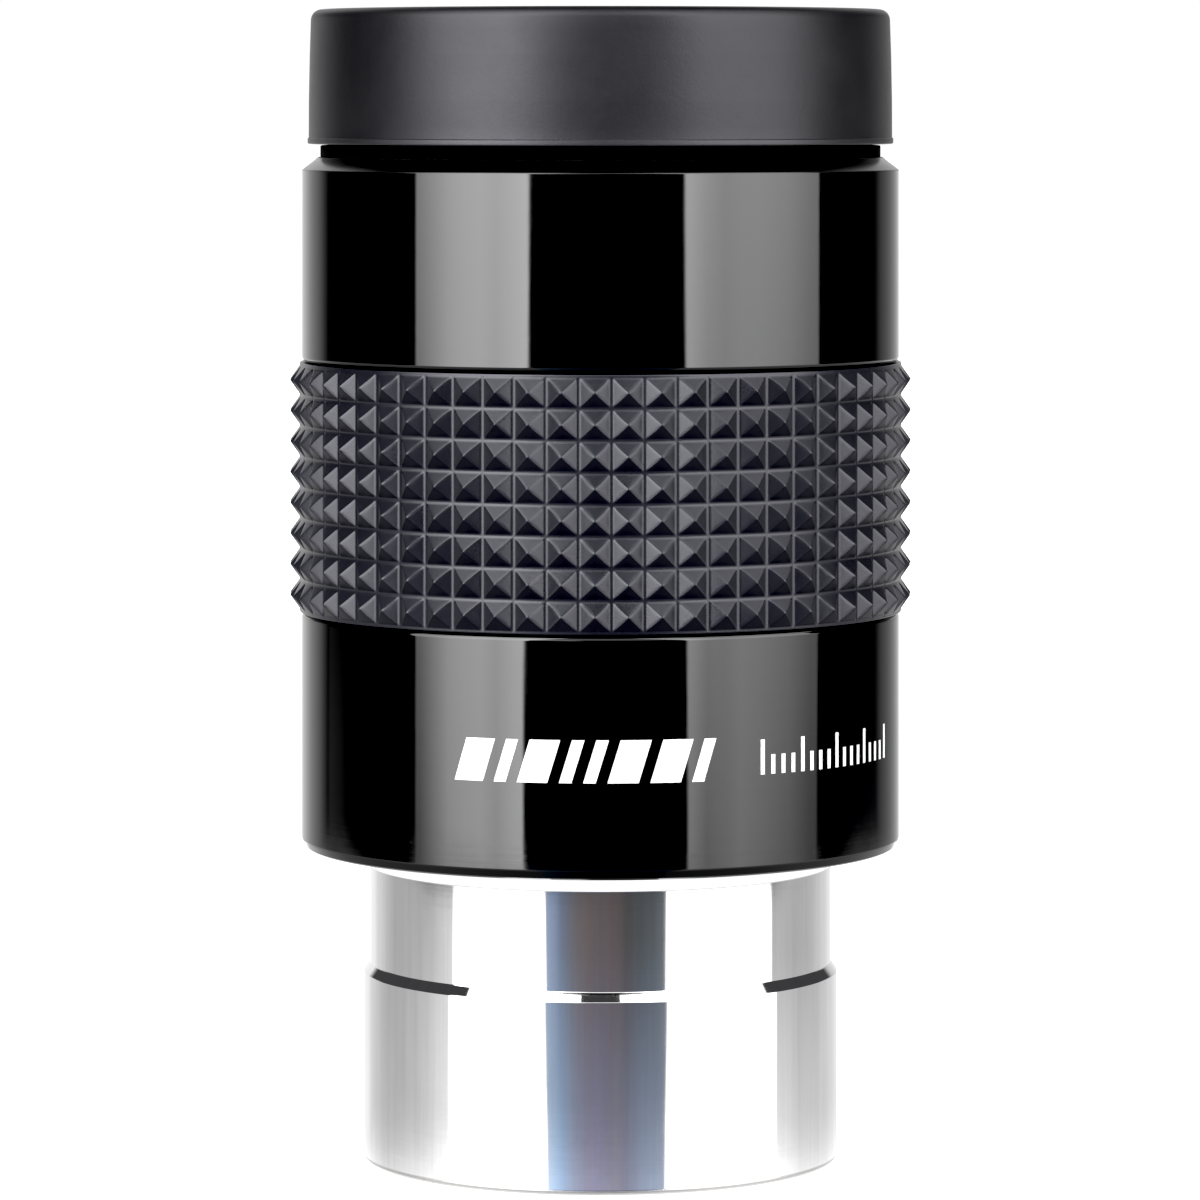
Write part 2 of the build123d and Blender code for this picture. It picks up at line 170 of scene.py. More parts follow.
def lathe(name, segs, mats, closed=True, around=SEGS, custom=True, cuts=1):
    """Turns the profile about Z, with each face corner's normal taken from the profile, so flats stay flat and fillets stay round."""
    if cuts > 1:
        fine = []
        for (p0, p1, n0, n1, m) in segs:
            for j in range(cuts):
                u, v = j / cuts, (j + 1) / cuts
                mix = lambda a, b, w: (a[0] + (b[0] - a[0]) * w, a[1] + (b[1] - a[1]) * w)
                fine.append((mix(p0, p1, u), mix(p0, p1, v), mix(n0, n1, u), mix(n0, n1, v), m))
        segs = fine
    pts = [s[0] for s in segs]
    if not closed:
        pts.append(segs[-1][1])
    verts, ring = [], []
    for (r, z) in pts:
        if r < 1e-6:
            ring.append([len(verts)] * around)
            verts.append((0, 0, z * MM))
        else:
            base = len(verts)
            for j in range(around):
                a = 2 * math.pi * j / around
                verts.append((r * MM * math.cos(a), r * MM * math.sin(a), z * MM))
            ring.append([base + j for j in range(around)])
    faces, normals, fm = [], [], []
    for i, (p0, p1, n0, n1, m) in enumerate(segs):
        lo, hi = ring[i], ring[(i + 1) % len(ring)]
        for j in range(around):
            k = (j + 1) % around
            a0, a1 = 2 * math.pi * j / around, 2 * math.pi * (j + 1) / around
            quad = [(lo[j], n0, a0), (lo[k], n0, a1), (hi[k], n1, a1), (hi[j], n1, a0)]
            seen, poly = set(), []
            for q in quad:
                if q[0] not in seen:
                    seen.add(q[0])
                    poly.append(q)
            if len(poly) < 3:
                continue
            faces.append([q[0] for q in poly])
            fm.append(m)
            for _, nn, ang in poly:
                normals.append((nn[0] * math.cos(ang), nn[0] * math.sin(ang), nn[1]))
    mesh = bpy.data.meshes.new(name)
    mesh.from_pydata(verts, [], faces)
    for mat in mats:
        mesh.materials.append(mat)
    for p, m in zip(mesh.polygons, fm):
        p.material_index = m
        p.use_smooth = True
    if custom:
        mesh.normals_split_custom_set(normals)
    mesh.update()
    return link(mesh, name)


# --------------------------------------------------------------------------
# materials
# --------------------------------------------------------------------------
class Nodes:
    def __init__(self, name):
        self.mat = bpy.data.materials.new(name)
        self.mat.use_nodes = True
        self.t = self.mat.node_tree
        self.t.nodes.clear()
        self.out = self.t.nodes.new("ShaderNodeOutputMaterial")

    def new(self, kind, **kw):
        n = self.t.nodes.new(kind)
        for k, v in kw.items():
            setattr(n, k, v)
        return n

    def wire(self, a, b):
        self.t.links.new(a, b)

    def math(self, op, a, b=None, clamp=False):
        n = self.new("ShaderNodeMath", operation=op)
        n.use_clamp = clamp
        for i, v in enumerate((a, b)):
            if v is None:
                continue
            if isinstance(v, (int, float)):
                n.inputs[i].default_value = v
            else:
                self.wire(v, n.inputs[i])
        return n.outputs[0]

    def position(self):
        if not hasattr(self, "pos"):
            self.pos = self.new("ShaderNodeTexCoord").outputs["Object"]
        return self.pos

    def cylindrical(self):
        """(radius, angle, z) of the point about the axis, in metres and radians."""
        s = self.new("ShaderNodeSeparateXYZ")
        self.wire(self.position(), s.inputs[0])
        x, y, z = s.outputs
        r = self.math("SQRT", self.math("ADD", self.math("MULTIPLY", x, x), self.math("MULTIPLY", y, y)))
        return r, self.math("ARCTAN2", y, x), z

    def combine(self, a, b, c):
        n = self.new("ShaderNodeCombineXYZ")
        for i, v in enumerate((a, b, c)):
            if isinstance(v, (int, float)):
                n.inputs[i].default_value = v
            else:
                self.wire(v, n.inputs[i])
        return n.outputs[0]

    def noise(self, scale, detail=2.0, rough=0.5, vector=None):
        n = self.new("ShaderNodeTexNoise")
        n.inputs["Detail"].default_value = detail
        n.inputs["Roughness"].default_value = rough
        n.inputs["Scale"].default_value = scale
        self.wire(self.position() if vector is None else vector, n.inputs["Vector"])
        return n.outputs[0]

    def span(self, value, lo, hi, a=0.0, b=1.0, smooth=False):
        n = self.new("ShaderNodeMapRange", interpolation_type="SMOOTHSTEP" if smooth else "LINEAR")
        n.inputs["From Min"].default_value = lo
        n.inputs["From Max"].default_value = hi
        n.inputs["To Min"].default_value = a
        n.inputs["To Max"].default_value = b
        self.wire(value, n.inputs["Value"])
        return n.outputs[0]

    def mix(self, fac, a, b):
        n = self.new("ShaderNodeMix", data_type="RGBA")
        if isinstance(fac, (int, float)):
            n.inputs[0].default_value = fac
        else:
            self.wire(fac, n.inputs[0])
        for i, v in ((6, a), (7, b)):
            if isinstance(v, tuple):
                n.inputs[i].default_value = (*v, 1.0)
            else:
                self.wire(v, n.inputs[i])
        return n.outputs[2]

    def vector(self, op, a, b):
        n = self.new("ShaderNodeVectorMath", operation=op)
        self.wire(a, n.inputs[0])
        if isinstance(b, (int, float)):
            n.inputs["Scale"].default_value = b
        elif op == "SCALE":
            self.wire(b, n.inputs["Scale"])
        else:
            self.wire(b, n.inputs[1])
        return n.outputs[0]

    def bump(self, height, strength, distance, normal=None):
        n = self.new("ShaderNodeBump")
        n.inputs["Strength"].default_value = strength
        n.inputs["Distance"].default_value = distance
        self.wire(height, n.inputs["Height"])
        if normal is not None:
            self.wire(normal, n.inputs["Normal"])
        return n.outputs[0]

    def principled(self, **kw):
        b = self.new("ShaderNodeBsdfPrincipled")
        for k, v in kw.items():
            i = b.inputs[k.replace("_", " ")]
            if isinstance(v, (int, float)):
                i.default_value = v
            elif isinstance(v, tuple):
                i.default_value = (*v, 1.0) if len(v) == 3 else v
            else:
                self.wire(v, i)
        self.wire(b.outputs[0], self.out.inputs[0])
        return b


def lacquer(name, extra=0.0):
    """High-gloss black lacquer on a turned tube: very faint lap marks, a little dust and soft handling haze."""
    m = Nodes(name)
    r, a, z = m.cylindrical()
    haze = m.noise(90, 4, 0.6)
    dust = m.span(m.noise(2600, 2, 0.6), 0.72, 0.80)
    lap = m.noise(1.0, 2, 0.5, m.combine(m.math("MULTIPLY", a, 0.6), m.math("MULTIPLY", r, 3000), m.math("MULTIPLY", z, 3000)))
    rough = m.math("ADD", m.span(haze, 0.35, 0.75, 0.030 + extra, 0.075 + extra), m.math("MULTIPLY", dust, 0.06))
    colour = m.mix(m.math("MULTIPLY", dust, 0.20), (0.0012, 0.0012, 0.0014), (0.02, 0.02, 0.022))
    peel = m.bump(m.noise(420, 2, 0.5), 0.03, 0.00005)
    b = m.bump(lap, 0.015, 0.00002, peel)
    m.principled(Base_Color=colour, Roughness=rough, IOR=1.5, Normal=b)
    return m.mat


def chrome(name):
    """Bright chrome plate over a turned barrel: faint lengthwise polish marks, soft clouding, and darker, rougher plate
    round the outer bottom edge of the open end.
    """
    m = Nodes(name)
    r, a, z = m.cylindrical()
    rings = m.noise(1.0, 3, 0.6, m.combine(m.math("MULTIPLY", a, 0.8), m.math("MULTIPLY", r, 5200), m.math("MULTIPLY", z, 5200)))
    ca, sa = m.math("COSINE", a), m.math("SINE", a)
    streak = m.noise(1.0, 4, 0.6, m.combine(m.math("MULTIPLY", ca, 26), m.math("MULTIPLY", sa, 26), m.math("MULTIPLY", z, 45)))
    cloud = m.noise(1.0, 3, 0.5, m.combine(m.math("MULTIPLY", ca, 5), m.math("MULTIPLY", sa, 5), m.math("MULTIPLY", z, 110)))
    wear = m.noise(180, 4, 0.6)
    rough = m.math("ADD", m.span(wear, 0.35, 0.8, 0.030, 0.065), m.span(rings, 0.5, 0.8, 0.0, 0.015))
    tone = m.math("ADD", m.math("MULTIPLY", m.span(streak, 0.3, 0.7), 0.6), m.math("MULTIPLY", m.span(cloud, 0.3, 0.7), 0.4))
    colour = m.mix(tone, (0.745, 0.735, 0.745), (0.85, 0.85, 0.85))
    # the plate is darker and rougher round the outer bottom edge of the open end
    edge = m.math("MULTIPLY", m.span(z, 0.00022, 0.00042, 1.0, 0.0, True), m.span(r, 0.0152, 0.0155, 0.0, 1.0, True))
    colour = m.mix(edge, colour, (0.66, 0.65, 0.64))
    rough = m.math("ADD", rough, m.math("MULTIPLY", edge, 0.38))
    b = m.bump(rings, 0.010, 0.00001)
    b = m.bump(m.noise(500, 2, 0.5), 0.02, 0.00003, b)
    m.principled(Base_Color=colour, Metallic=1.0, Roughness=rough, Normal=b)
    return m.mat


def rubber(name, base, light, rough_lo, rough_hi, grain, depth, ior=1.45, shade_under=False, spec=0.5):
    """Moulded rubber: fine pebbled skin, faint bloom and dust in its colour."""
    m = Nodes(name)
    bloom = m.span(m.noise(140, 5, 0.6), 0.35, 0.7)
    speck = m.span(m.noise(3800, 3, 0.7), 0.55, 0.8)
    colour = m.mix(m.math("ADD", m.math("MULTIPLY", bloom, 0.55), m.math("MULTIPLY", speck, 0.35), True), base, light)
    rough = m.math("ADD", m.span(bloom, 0, 1, rough_lo, rough_hi), m.math("MULTIPLY", speck, 0.05))
    fine = m.bump(m.noise(grain, 3, 0.65), depth, 0.00003)
    b = m.bump(m.noise(grain * 0.22, 2, 0.5), depth * 0.5, 0.00006, fine)
    p = m.principled(Base_Color=colour, Roughness=rough, IOR=ior, Normal=b, Specular_Tint=(0.93, 0.925, 1.0), Specular_IOR_Level=spec)
    if shade_under:
        # painted shade: the undersides of the studs get much less shine, so they read dark as if shaded
        g = m.new("ShaderNodeNewGeometry")
        s = m.new("ShaderNodeSeparateXYZ")
        m.wire(g.outputs["Normal"], s.inputs[0])
        m.wire(m.span(s.outputs[2], -0.50, -0.18, 0.06, 0.5, True), p.inputs["Specular IOR Level"])
    return m.mat


def anodised(name, base=(0.010, 0.010, 0.011), rough=0.42, spec=0.5):
    """Black anodised aluminium with visible turning rings."""
    m = Nodes(name)
    r, a, z = m.cylindrical()
    rings = m.noise(1.0, 3, 0.6, m.combine(m.math("MULTIPLY", a, 0.5), m.math("MULTIPLY", r, 7000), m.math("MULTIPLY", z, 7000)))
    spots = m.noise(1500, 3, 0.6)
    colour = m.mix(m.span(spots, 0.45, 0.8), base, (base[0] * 2.2, base[1] * 2.2, base[2] * 2.3))
    rr = m.math("ADD", m.span(rings, 0.3, 0.7, rough - 0.06, rough + 0.06), m.span(spots, 0.4, 0.8, 0, 0.08))
    b = m.bump(rings, 0.25, 0.00002)
    m.principled(Base_Color=colour, Roughness=rr, IOR=1.5, Normal=b, Specular_IOR_Level=spec)
    return m.mat


def matt_black(name, base, light, spec):
    """Anti-reflection paint: soft, grainy, almost no shine."""
    m = Nodes(name)
    grain = m.noise(3000, 4, 0.7)
    patch = m.noise(300, 3, 0.6)
    colour = m.mix(m.span(grain, 0.4, 0.75), (base,) * 3, (light,) * 3)
    rough = m.span(patch, 0.3, 0.7, 0.78, 0.92)
    b = m.bump(grain, 0.35, 0.00004)
    m.principled(Base_Color=colour, Roughness=rough, IOR=1.4, Normal=b, Specular_IOR_Level=spec)
    return m.mat


def glass(name, ior, tint, coat):
    """Polished optical glass with a thin anti-reflection film, faint dust and the odd sleek."""
    m = Nodes(name)
    dust = m.span(m.noise(5200, 2, 0.6), 0.74, 0.82)
    smear = m.noise(260, 4, 0.6)
    rough = m.math("ADD", m.span(smear, 0.5, 0.85, 0.0, 0.012), m.math("MULTIPLY", dust, 0.05))
    p = m.principled(Base_Color=tint, Roughness=rough, IOR=ior, Transmission_Weight=1.0)
    if coat:
        p.inputs["Thin Film Thickness"].default_value = coat
        p.inputs["Thin Film IOR"].default_value = 1.38
    return m.mat


def clear(name):
    """The cemented face inside a doublet, where light passes without a surface."""
    m = Nodes(name)
    t = m.new("ShaderNodeBsdfTransparent")
    faint = m.noise(900, 2, 0.5)
    c = m.mix(m.span(faint, 0.3, 0.7), (0.995, 0.995, 0.99), (0.985, 0.985, 0.98))
    m.wire(c, t.inputs[0])
    m.wire(t.outputs[0], m.out.inputs[0])
    return m.mat


def ink(name):
    m = Nodes(name)
    n = m.noise(2400, 4, 0.7)
    colour = m.mix(m.span(n, 0.35, 0.75), (0.84, 0.84, 0.84), (0.74, 0.74, 0.75))
    b = m.bump(n, 0.25, 0.00001)
    m.principled(Base_Color=colour, Roughness=0.45, Normal=b)
    return m.mat


LACQUER = lacquer("gloss_black_lacquer")
CHAMFER = lacquer("gloss_black_lacquer_chamfer", 0.17)
CHROME = chrome("chrome_plate")
# painted highlight: a paler, shinier copy of the eyecup rubber on the bead along the skirt's bottom edge, showing a
# light band there
CUP_EDGE_LIT = rubber("eyecup_rubber_edge_painted_highlight", (0.0040, 0.0040, 0.0048), (0.009, 0.009, 0.0105), 0.40, 0.46, 5200, 0.20, 1.54)
# painted light and shade: the eyecup's top faces get a copy of the rubber with far less shine, which dims the glare
# they catch, and a paler base colour
CUP_TOP_DIMMED = rubber("eyecup_rubber_top_dimmed_glare", (0.007, 0.007, 0.008), (0.016, 0.016, 0.018), 0.50, 0.62, 5200, 0.25, 1.43, False, 0.16)
CUP = rubber("eyecup_rubber", (0.0022, 0.0022, 0.0029), (0.006, 0.006, 0.0072), 0.37, 0.43, 5200, 0.20, 1.43)
GRIP = rubber("grip_rubber", (0.004, 0.004, 0.0070), (0.012, 0.012, 0.0170), 0.26, 0.33, 4200, 0.14, 1.46, True)
ANODISED = anodised("black_anodised")
PAINT = matt_black("anti_reflection_paint", 0.007, 0.020, 0.20)
# painted shade: the outside of the mount, with the neck under the skirt, gets a near-black, almost shineless copy of
# the paint to stand in for the shade there
NECK_SHADE = matt_black("neck_painted_shade", 0.0010, 0.0045, 0.06)
# painted light: a paler, shinier copy of the black paint inside the nosepiece and on its filter thread, lightened so
# the baffles and threads show in the dark bore
BORE_LIT = matt_black("bore_black_painted_light", 0.022, 0.050, 0.35)
FLINT_OUT = glass("flint_glass_coated", 1.648, (0.985, 0.985, 0.965), 105)
CROWN_OUT = glass("crown_glass_coated", 1.517, (0.985, 0.995, 0.985), 105)
CEMENT = clear("cemented_face")
INK = ink("printed_ink")

# --------------------------------------------------------------------------
# housing
# --------------------------------------------------------------------------
housing = lathe(
    "outer_housing_visual",
    rounded(
        [
            (15.35, H0 + 0.25, 0.05), (16.25, H0 + 0.25, 0.04), (16.25, H0, 0.04), (19.70, H0, 0.08),
            (19.84, H0 + 0.10, 0.10), (20.05, H0 + 0.58, 0.30), (20.05, G0 - 0.02, 0.38),
            (19.20, G0 - 0.02, 0.05), (19.20, G1 + 0.02, 0.05), (20.05, G1 + 0.02, 0.45), (20.05, H1 - 0.83, 0.10),
            (18.95, H1, 0.12), (17.45, H1, 0.08), (17.15, H1 - 0.30, 0.05), (17.15, SEAT, 0.05),
            (15.60, SEAT, 0.05), (15.60, H0 + 5.00, 0.05), (15.00, H0 + 5.00, 0.05), (15.00, H0 + 0.55, 0.05),
        ],
        mats=[0] * 10 + [2] + [1] * 8,
    ),
    [LACQUER, ANODISED, CHAMFER],
)
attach(housing, "housing")
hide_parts("outer_housing")

# --------------------------------------------------------------------------
# grip band: eight rows of sixty square pyramids with slightly rounded edges
# --------------------------------------------------------------------------
G_PITCH, G_ROWS, G_COLS = 2.050, 8, 60
G_ROW0 = G1 - 0.13 - G_ROWS * G_PITCH
G_VALLEY, G_TIP, G_SEAT = 20.20, 20.87, 19.22
G_TURN = 2.0
# where the grid is cut within one stud, closer together at the groove, the ridge and the tip
CUTS = [0.0, 0.035, 0.07, 0.10, 0.14, 0.20, 0.28, 0.36, 0.43, 0.47, 0.50, 0.53, 0.57, 0.64, 0.72, 0.80, 0.86, 0.90, 0.93, 0.965]


def soft_min(a, b, k):
    h = max(k - abs(a - b), 0.0) / k
    return min(a, b) - h * h * k * 0.25


def soft_max(a, b, k):
    return -soft_min(-a, -b, k)


def pyramid(u, v):
    """Height from 0 to 1 over one stud, with a narrow flat groove floor and rounded ridges."""
    floor_half = 0.10
    du = (1 - abs(2 * u - 1) - floor_half) / (1 - floor_half)
    dv = (1 - abs(2 * v - 1) - floor_half) / (1 - floor_half)
    return soft_max(soft_min(du, dv, 0.09), 0.0, 0.06)


def grip_mesh():
    turn = math.radians(G_TURN)
    columns = [((i + c) / G_COLS, c) for i in range(G_COLS) for c in CUTS]
    levels = [(G_ROW0 + G_PITCH * (j + c), c) for j in range(G_ROWS) for c in CUTS] + [(G_ROW0 + G_PITCH * G_ROWS, 0.0)]
    nu, nv = len(columns), len(levels) - 1
    verts, faces = [], []
    angles = [turn + 2 * math.pi * t for t, _ in columns]
    for (z, v) in levels:
        for (t, u), a in zip(columns, angles):
            h = pyramid(u, v)
            # a little uneven flow of the moulding, well under the height of a stud
            uneven = 0.004 * math.sin(7.3 * math.cos(a) + 0.9 * z) + 0.003 * math.sin(31.0 * a + 2.1 * z)
            r = G_VALLEY + (G_TIP - G_VALLEY - 0.01) * h + (uneven - 0.007) * min(1.0, h)
            verts.append((r * math.cos(a), r * math.sin(a), z))
    for j in range(nv):
        for i in range(nu):
            k = (i + 1) % nu
            a, b, c, d = j * nu + i, j * nu + k, (j + 1) * nu + k, (j + 1) * nu + i
            cu = columns[i][1] + 0.001 - 0.5
            cv = levels[j][1] + 0.001 - 0.5
            if cu * cv > 0:
                faces += [(a, b, c), (a, c, d)]
            else:
                faces += [(a, b, d), (b, c, d)]

    def ring(r, z):
        base = len(verts)
        for a in angles:
            verts.append((r * math.cos(a), r * math.sin(a), z))
        return base

    def join(lo, hi):
        for i in range(nu):
            k = (i + 1) % nu
            faces.append((lo + i, lo + k, hi + k, hi + i))

    prev = nv * nu
    for (r, z) in (
        (G_VALLEY, G1 - 0.06), (G_VALLEY - 0.015, G1 - 0.02), (G_VALLEY - 0.05, G1), (G_SEAT, G1), (G_SEAT, G0),
        (G_VALLEY - 0.07, G0), (G_VALLEY - 0.02, G0 + 0.03), (G_VALLEY, G0 + 0.09),
    ):
        nxt = ring(r, z)
        join(prev, nxt)
        prev = nxt
    join(prev, 0)
    mesh = bpy.data.meshes.new("rubber_grip_visual")
    mesh.from_pydata([(x * MM, y * MM, z * MM) for x, y, z in verts], [], faces)
    mesh.materials.append(GRIP)
    for p in mesh.polygons:
        p.use_smooth = True
    mesh.set_sharp_from_angle(angle=math.radians(24))
    mesh.update()
    return link(mesh, "rubber_grip_visual")


grip = grip_mesh()
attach(grip, "housing")
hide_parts("rubber_grip")

# --------------------------------------------------------------------------
# eyecup mount with its neck, bead groove and the light-trap well round the eye lens
# --------------------------------------------------------------------------
well = []
N_TRAP = 22
TRAP0, TRAP1 = CELL1 + 0.70, M1 - 0.20
trap = (TRAP1 - TRAP0) / N_TRAP
for i in range(N_TRAP):
    z = TRAP1 - trap * i
    wall = lambda zz: 12.30 + (15.85 - 12.30) * (zz - CELL1 - 0.30) / (M1 - CELL1 - 0.30)
    well += [(wall(z), z), (wall(z - trap * 0.35) + 0.10, z - trap * 0.35)]
mount = lathe(
    "eyecup_mount_visual",
    rounded(
        [
            (14.70, M0), (17.10, M0, 0.1), (17.10, H1 + 0.01, 0.05), (18.80, H1 + 0.01, 0.06), (18.80, CUP0 - 0.05, 0.10),
            (17.00, CUP0 - 0.05, 0.05), (17.00, CUP0 + 1.45, 0.05), (17.30, CUP0 + 1.45, 0.05), (17.30, M1, 0.1), (15.85, M1, 0.1),
            *well, (12.30, CELL1 + 0.40), (12.30, CELL1 + 0.04), (14.70, CELL1 + 0.04),
        ],
        mats=[1] * 10 + [0] * (len(well) + 3),
    ),
    [PAINT, NECK_SHADE],
)
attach(mount, "housing")
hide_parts("eyecup_mount")

# --------------------------------------------------------------------------
# eyecup: fixed inner wall with its lip, and the folded skirt with its rim
# --------------------------------------------------------------------------
cup = lathe(
    "eyecup_wall_visual",
    rounded(
        [
            (17.05, CUP0, 0.1), (18.24, CUP0, 0.25), (18.24, CUP1 - 0.35, 0.1), (18.10, CUP1 - 0.03, 0.15), (15.90, CUP1 - 0.01, 0.60),
            (15.92, M1 + 0.05, 0.2), (17.34, M1 + 0.05, 0.1), (17.34, CUP0 + 1.40, 0.05), (17.05, CUP0 + 1.40, 0.05),
        ],
        steps=6,
        mats=[0, 0, 1, 1, 1, 0, 0, 0, 0],
    ),
    [CUP, CUP_TOP_DIMMED],
    cuts=2,
)
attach(cup, "housing")
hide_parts("eyecup")

skirt_pts = [
    (18.45, RIM0, 0.10), (19.66, RIM0, 0.10), (19.66, RIM0 + 0.36, 0.03), (19.585, RIM0 + 0.42, 0.04), (19.575, RIM0 + 2.9, 0.5),
    (19.52, RIM0 + 5.9, 0.5), (19.42, CUP1, 0.75), (18.00, CUP1, 0.2), (17.95, CUP1 - 0.40, 0.1), (18.40, CUP1 - 1.15, 0.2),
]
skirt = lathe("eyecup_skirt_visual", rounded(skirt_pts, steps=7, mats=[0, 1, 1, 0, 0, 0, 2, 2, 0, 0]), [CUP, CUP_EDGE_LIT, CUP_TOP_DIMMED], custom=False, cuts=3)
skirt.data.set_sharp_from_angle(angle=math.radians(40))
for p in skirt.data.polygons:
    if p.material_index == 2 and math.hypot(p.center.x, p.center.y) > 18.85 * MM:
        p.material_index = 0
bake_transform(skirt)
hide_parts("eyecup_skirt", "eyecup_rim")

# --------------------------------------------------------------------------
# nosepiece: chromed outside, painted inside, with real threads
# --------------------------------------------------------------------------
baffle = []
for i in reversed(range(12)):
    z = N0 + 6.0 + i
    baffle += [(13.75, z + 0.80, 0.03), (14.03, z + 0.75, 0.03), (13.75, z, 0.03)]
STEP = H0 - 8.40    # top of the full-diameter push-fit section
nose_pts = [
    (14.25, N0, 0.06), (15.875, N0, 0.30), (15.875, STEP, 0.08), (15.45, STEP + 0.60, 0.12),
    (15.45, H0 - 1.30, 0.10), (16.20, H0 - 0.05, 0.03), (16.20, H0 + 0.25, 0.03), (14.55, H0 + 0.25, 0.05), (14.55, N1, 0.1),
    (14.10, N1, 0.05), (14.10, STOP_SEAT, 0.05), (13.75, STOP_SEAT, 0.05), *baffle, (13.75, N0 + 4.90, 0.05),
    (14.27, N0 + 4.65, 0.05), (14.27, N0 + 0.12, 0.02),
]
nose_mats = [0] * 8 + [1] * (len(nose_pts) - 8)
nose = lathe("nosepiece_body", rounded(nose_pts, mats=nose_mats), [CHROME, BORE_LIT])


def thread(name, root, crest, z0, z1, pitch, mats, fade=0.12):
    """A right-hand V thread standing out from the root radius to the crest radius, running out at both ends."""
    per = 120
    turns = (z1 - z0) / pitch
    n = int(turns * per)
    sign = 1.0 if crest > root else -1.0
    verts, faces = [], []
    for i in range(n + 1):
        t = i / n
        a = 2 * math.pi * turns * t
        z = z0 + (z1 - z0) * t
        k = min(1.0, t / fade * turns * 0.5, (1 - t) / fade * turns * 0.5)
        k = max(k, 0.02)
        rc = root + (crest - root) * k
        r0 = root - sign * 0.03
        prof = [(r0, z - pitch * 0.46), (rc, z - pitch * 0.07), (rc, z + pitch * 0.07), (r0, z + pitch * 0.46)]
        for (r, zz) in prof:
            verts.append((r * MM * math.cos(a), r * MM * math.sin(a), zz * MM))
    for i in range(n):
        for q in range(4):
            a, b = i * 4 + q, i * 4 + (q + 1) % 4
            c, d = (i + 1) * 4 + (q + 1) % 4, (i + 1) * 4 + q
            faces.append((a, d, c, b) if sign > 0 else (a, b, c, d))
    faces.append((0, 1, 2, 3) if sign > 0 else (3, 2, 1, 0))
    e = n * 4
    faces.append((e + 3, e + 2, e + 1, e) if sign > 0 else (e, e + 1, e + 2, e + 3))
    mesh = bpy.data.meshes.new(name)
    mesh.from_pydata(verts, [], faces)
    for mm in mats:
        mesh.materials.append(mm)
    for p in mesh.polygons:
        p.use_smooth = True
    mesh.set_sharp_from_angle(angle=math.radians(30))
    mesh.update()
    return link(mesh, name)


filter_thread = thread("nosepiece_filter_thread", 14.26, 13.95, N0 + 0.55, N0 + 4.15, 0.60, [BORE_LIT])
spigot_thread = thread("nosepiece_spigot_thread", 14.56, 14.93, H0 + 1.05, H0 + 4.15, 0.75, [CHROME])
for o in (nose, filter_thread, spigot_thread):
    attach(o, "nosepiece")
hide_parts("nosepiece")

# --------------------------------------------------------------------------
# lens cell and lenses
# --------------------------------------------------------------------------
cell = lathe(
    "lens_cell_visual",
    rounded(
        [
            (13.30, CELL0, 0.08), (14.50, CELL0, 0.1), (14.50, CELL0 + 3.40), (15.55, CELL0 + 3.80, 0.05), (15.55, CELL0 + 7.00, 0.05),
            (14.50, CELL0 + 7.40), (14.50, SEAT), (17.05, SEAT, 0.08), (17.05, SEAT + 1.20, 0.08), (14.60, SEAT + 1.20),
            (14.60, CELL1 - 0.30, 0.05), (14.30, CELL1, 0.05), (12.20, CELL1, 0.05), (11.90, CELL1 - 0.60, 0.05), (11.90, EYE1 + 0.02),
            (13.05, EYE1 + 0.02), (13.05, FIELD0 + 0.30), (13.30, FIELD0 + 0.30),
        ]
    ),
    [ANODISED],
)
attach(cell, "housing")
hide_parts("lens_cell")

LR = 13.0


def sag(radius, rho):
    return radius - math.sqrt(radius * radius - rho * rho)


def sphere_arc(vertex_z, radius, up, outward, rho0, rho1, steps, mat):
    """Part of a sphere through the axis at vertex_z; up is +1 if it rises away from the axis, outward +1 if its outside faces up."""
    def point(rho):
        return (rho, vertex_z + up * sag(radius, rho))

    def normal(rho):
        s, c = rho / radius, math.sqrt(1 - (rho / radius) ** 2)
        return (-up * outward * s, outward * c)

    return curve(point, normal, rho0, rho1, steps, mat)


def flat(p0, p1, mat):
    d = unit(p1[0] - p0[0], p1[1] - p0[1])
    return [(p0, p1, (d[1], -d[0]), (d[1], -d[0]), mat)]


TF, TC, GAP, RC, RO = 1.8, 7.5, 0.5, 38.59, 27.93
zc, zk = FIELD0 + TF, FIELD0 + TF + TC
mid = zk + GAP / 2


def flint():
    top = zc - 0.005
    segs = []
    segs += flat((0, FIELD0), (LR - 0.15, FIELD0), 0) + flat((LR - 0.15, FIELD0), (LR, FIELD0 + 0.15), 1)
    segs += flat((LR, FIELD0 + 0.15), (LR, top + sag(RC, LR)), 1)
    segs += sphere_arc(top, RC, 1, 1, LR, 0, 24, 2)
    return segs


def crown():
    bottom = zc + 0.005
    segs = sphere_arc(bottom, RC, 1, -1, 0, LR, 24, 2)
    segs += flat((LR, bottom + sag(RC, LR)), (LR, zk - sag(RO, LR)), 1)
    segs += sphere_arc(zk, RO, -1, 1, LR, 0, 28, 0)
    return segs


def mirrored(segs):
    m = lambda p: (p[0], 2 * mid - p[1])
    w = lambda n: (n[0], -n[1])
    return [(m(b), m(a), w(nb), w(na), k) for (a, b, na, nb, k) in reversed(segs)]


for node, segs, mats, slot in (
    ("field_lens_flint", flint(), [FLINT_OUT, PAINT, CEMENT], "flint_glass"),
    ("field_lens_crown", crown(), [CROWN_OUT, PAINT, CEMENT], "crown_glass"),
    ("eye_lens_crown", mirrored(crown()), [CROWN_OUT, PAINT, CEMENT], "crown_glass"),
    ("eye_lens_flint", mirrored(flint()), [FLINT_OUT, PAINT, CEMENT], "flint_glass"),
):
    lens = lathe(node + "_visual", segs, mats, closed=False, around=192)
    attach(lens, "housing")
    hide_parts(node)

